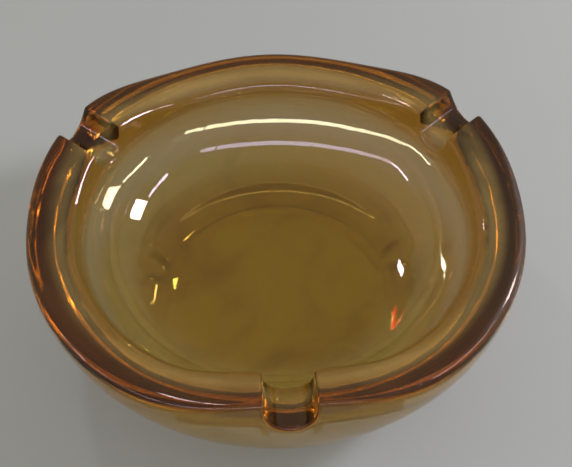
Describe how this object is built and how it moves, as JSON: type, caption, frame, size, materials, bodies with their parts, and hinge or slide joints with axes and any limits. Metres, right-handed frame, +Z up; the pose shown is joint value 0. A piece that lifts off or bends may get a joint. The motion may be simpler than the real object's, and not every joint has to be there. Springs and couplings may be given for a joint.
{
  "type": "glass ashtray",
  "caption": "Round pressed-glass ashtray with an iridescent amber lustre, a deep bowl, and cigarette rests pressed through a thick rim that swells up at each rest.",
  "frame": {"origin": "Centre of the foot, on the surface the ashtray stands on.", "axes": "+Z up along the bowl's axis. One rest opens to the front, -Y, and the others are 120 degrees round from it."},
  "size_m": [0.165, 0.165, 0.0487],
  "materials": {
    "lustre_glass": "transparent light-amber pressed glass with an iridescent orange, gold and purple-brown lustre, fire-polished"
  },
  "bodies": {
    "root": {"glass_bowl": "lustre_glass"}
  },
  "joints": []
}
